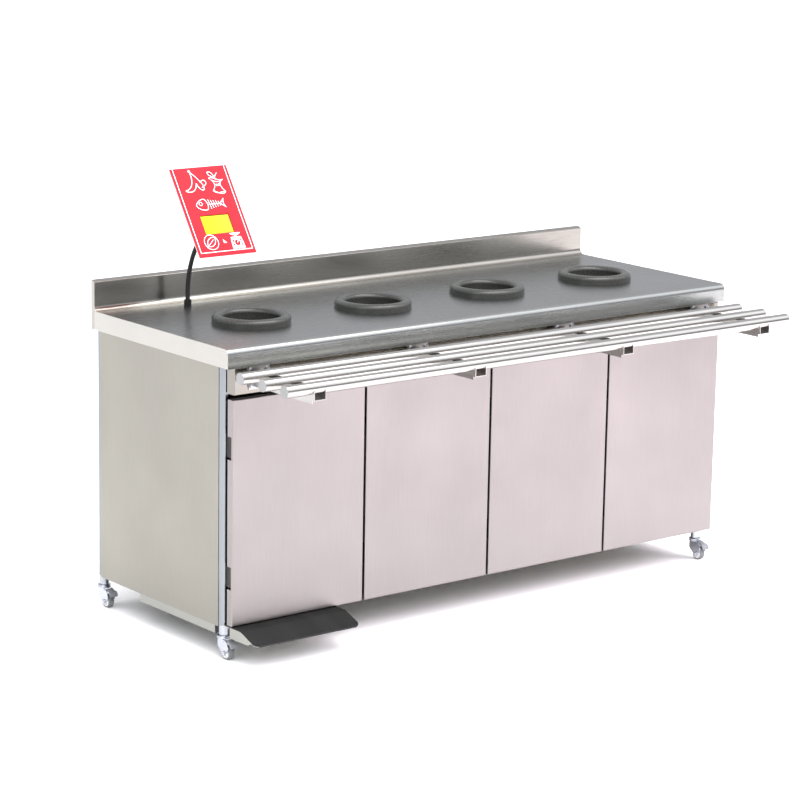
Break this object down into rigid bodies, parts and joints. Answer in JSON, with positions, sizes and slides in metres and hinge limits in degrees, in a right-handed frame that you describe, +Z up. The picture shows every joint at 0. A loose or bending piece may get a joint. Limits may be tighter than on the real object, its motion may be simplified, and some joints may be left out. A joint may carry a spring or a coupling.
{
  "type": "canteen waste sorting table",
  "caption": "Stainless canteen waste-sorting table on castors, with ringed waste holes, doors, a tray slide, a bin scale with a ramp, and a weight display on a gooseneck.",
  "frame": {"origin": "on the floor under the middle of the whole table, tray slide included", "axes": "+X to the right of a person at the front, +Y towards the back, +Z up"},
  "size_m": [1.906, 0.989, 1.3191],
  "materials": {
    "worktop_steel": "satin",
    "panel_steel": "satin",
    "door_steel": "satin",
    "tube_steel": "polished",
    "cap_steel": "satin",
    "bracket_steel": "satin",
    "scale_steel": "satin",
    "load_cell_aluminium": "machined",
    "zinc": "bright zinc plated",
    "ring_rubber": "moulded",
    "ramp_rubber": "ribbed",
    "black_plastic": "moulded",
    "neck_black": "ribbed sleeve",
    "sign_red": "printed",
    "screen_yellow": "backlit window",
    "hub_white": "moulded",
    "tyre_grey": "moulded",
    "pedal_grey": "moulded"
  },
  "bodies": {
    "table": {"worktop": "worktop_steel", "worktop_end_plates": "worktop_steel", "upstand": "worktop_steel", "worktop_stiffeners": "panel_steel", "front_rail": "panel_steel", "rear_panel": "panel_steel", "side_panels": "panel_steel", "legs": "tube_steel", "leg_inserts": "tube_steel", "partitions": "panel_steel", "base_shelf": "panel_steel", "lower_rails": "tube_steel", "scale_base": "scale_steel", "load_cells": "load_cell_aluminium", "scale_platform": "scale_steel", "ramp_frame": "scale_steel", "ramp_mat": "ramp_rubber", "tray_tubes": "tube_steel", "tray_tube_caps": "cap_steel", "tray_brackets": "bracket_steel", "bracket_bolts": "zinc", "hinge_brackets": "bracket_steel", "hinge_pins": "zinc", "door_catches": "black_plastic", "scrap_ring_1": "ring_rubber", "scrap_ring_2": "ring_rubber", "scrap_ring_3": "ring_rubber", "scrap_ring_4": "ring_rubber", "gooseneck_gland": "black_plastic"},
    "neck": {"gooseneck": "neck_black", "neck_head": "neck_black"},
    "display": {"display_housing": "black_plastic", "display_plate": "sign_red", "display_screen": "screen_yellow"},
    "door_1": {"door_1": "door_steel", "door_liner_1": "door_steel"},
    "door_2": {"door_2": "door_steel", "door_liner_2": "door_steel"},
    "door_3": {"door_3": "door_steel", "door_liner_3": "door_steel"},
    "door_4": {"door_4": "door_steel", "door_liner_4": "door_steel"},
    "castor_1": {"castor_1_fork": "zinc"},
    "wheel_1": {"castor_1_hub": "hub_white", "castor_1_tyre": "tyre_grey"},
    "pedal_1": {"castor_1_brake": "pedal_grey"},
    "castor_2": {"castor_2_fork": "zinc"},
    "wheel_2": {"castor_2_hub": "hub_white", "castor_2_tyre": "tyre_grey"},
    "pedal_2": {"castor_2_brake": "pedal_grey"},
    "castor_3": {"castor_3_fork": "zinc"},
    "wheel_3": {"castor_3_hub": "hub_white", "castor_3_tyre": "tyre_grey"},
    "pedal_3": {"castor_3_brake": "pedal_grey"},
    "castor_4": {"castor_4_fork": "zinc"},
    "wheel_4": {"castor_4_hub": "hub_white", "castor_4_tyre": "tyre_grey"},
    "pedal_4": {"castor_4_brake": "pedal_grey"}
  },
  "joints": [
    {"name": "door_1_hinge", "type": "hinge", "parent": "table", "child": "door_1", "pos_m": [-0.92, -0.1965, 0.43], "axis": [0, 0, -1], "range_deg": [0, 95]},
    {"name": "door_2_hinge", "type": "hinge", "parent": "table", "child": "door_2", "pos_m": [-0.452, -0.1965, 0.43], "axis": [0, 0, -1], "range_deg": [0, 95]},
    {"name": "door_3_hinge", "type": "hinge", "parent": "table", "child": "door_3", "pos_m": [0.016, -0.1965, 0.43], "axis": [0, 0, -1], "range_deg": [0, 95]},
    {"name": "door_4_hinge", "type": "hinge", "parent": "table", "child": "door_4", "pos_m": [0.484, -0.1965, 0.43], "axis": [0, 0, -1], "range_deg": [0, 95]},
    {"name": "castor_1_swivel", "type": "hinge", "parent": "table", "child": "castor_1", "pos_m": [-0.92, -0.1515, 0.058], "axis": [0, 0, 1], "continuous": true},
    {"name": "wheel_1_roll", "type": "hinge", "parent": "castor_1", "child": "wheel_1", "pos_m": [-0.92, -0.1725, 0.02], "axis": [1, 0, 0], "continuous": true},
    {"name": "pedal_1_hinge", "type": "hinge", "parent": "castor_1", "child": "pedal_1", "pos_m": [-0.92, -0.1715, 0.0544], "axis": [-1, 0, 0], "range_deg": [0, 15]},
    {"name": "castor_2_swivel", "type": "hinge", "parent": "table", "child": "castor_2", "pos_m": [0.92, -0.1515, 0.058], "axis": [0, 0, 1], "continuous": true},
    {"name": "wheel_2_roll", "type": "hinge", "parent": "castor_2", "child": "wheel_2", "pos_m": [0.92, -0.1725, 0.02], "axis": [1, 0, 0], "continuous": true},
    {"name": "pedal_2_hinge", "type": "hinge", "parent": "castor_2", "child": "pedal_2", "pos_m": [0.92, -0.1715, 0.0544], "axis": [-1, 0, 0], "range_deg": [0, 15]},
    {"name": "castor_3_swivel", "type": "hinge", "parent": "table", "child": "castor_3", "pos_m": [-0.92, 0.4745, 0.058], "axis": [0, 0, 1], "continuous": true},
    {"name": "wheel_3_roll", "type": "hinge", "parent": "castor_3", "child": "wheel_3", "pos_m": [-0.92, 0.4535, 0.02], "axis": [1, 0, 0], "continuous": true},
    {"name": "pedal_3_hinge", "type": "hinge", "parent": "castor_3", "child": "pedal_3", "pos_m": [-0.92, 0.4545, 0.0544], "axis": [-1, 0, 0], "range_deg": [0, 15]},
    {"name": "castor_4_swivel", "type": "hinge", "parent": "table", "child": "castor_4", "pos_m": [0.92, 0.4745, 0.058], "axis": [0, 0, 1], "continuous": true},
    {"name": "wheel_4_roll", "type": "hinge", "parent": "castor_4", "child": "wheel_4", "pos_m": [0.92, 0.4535, 0.02], "axis": [1, 0, 0], "continuous": true},
    {"name": "pedal_4_hinge", "type": "hinge", "parent": "castor_4", "child": "pedal_4", "pos_m": [0.92, 0.4545, 0.0544], "axis": [-1, 0, 0], "range_deg": [0, 15]},
    {"name": "display_swivel", "type": "hinge", "parent": "table", "child": "neck", "pos_m": [-0.67, 0.4015, 0.9], "axis": [0, 0, 1], "range_deg": [-45, 45]},
    {"name": "display_tilt", "type": "hinge", "parent": "neck", "child": "display", "pos_m": [-0.67, 0.2993, 1.14127], "axis": [1, 0, 0], "range_deg": [-20, 25]}
  ]
}
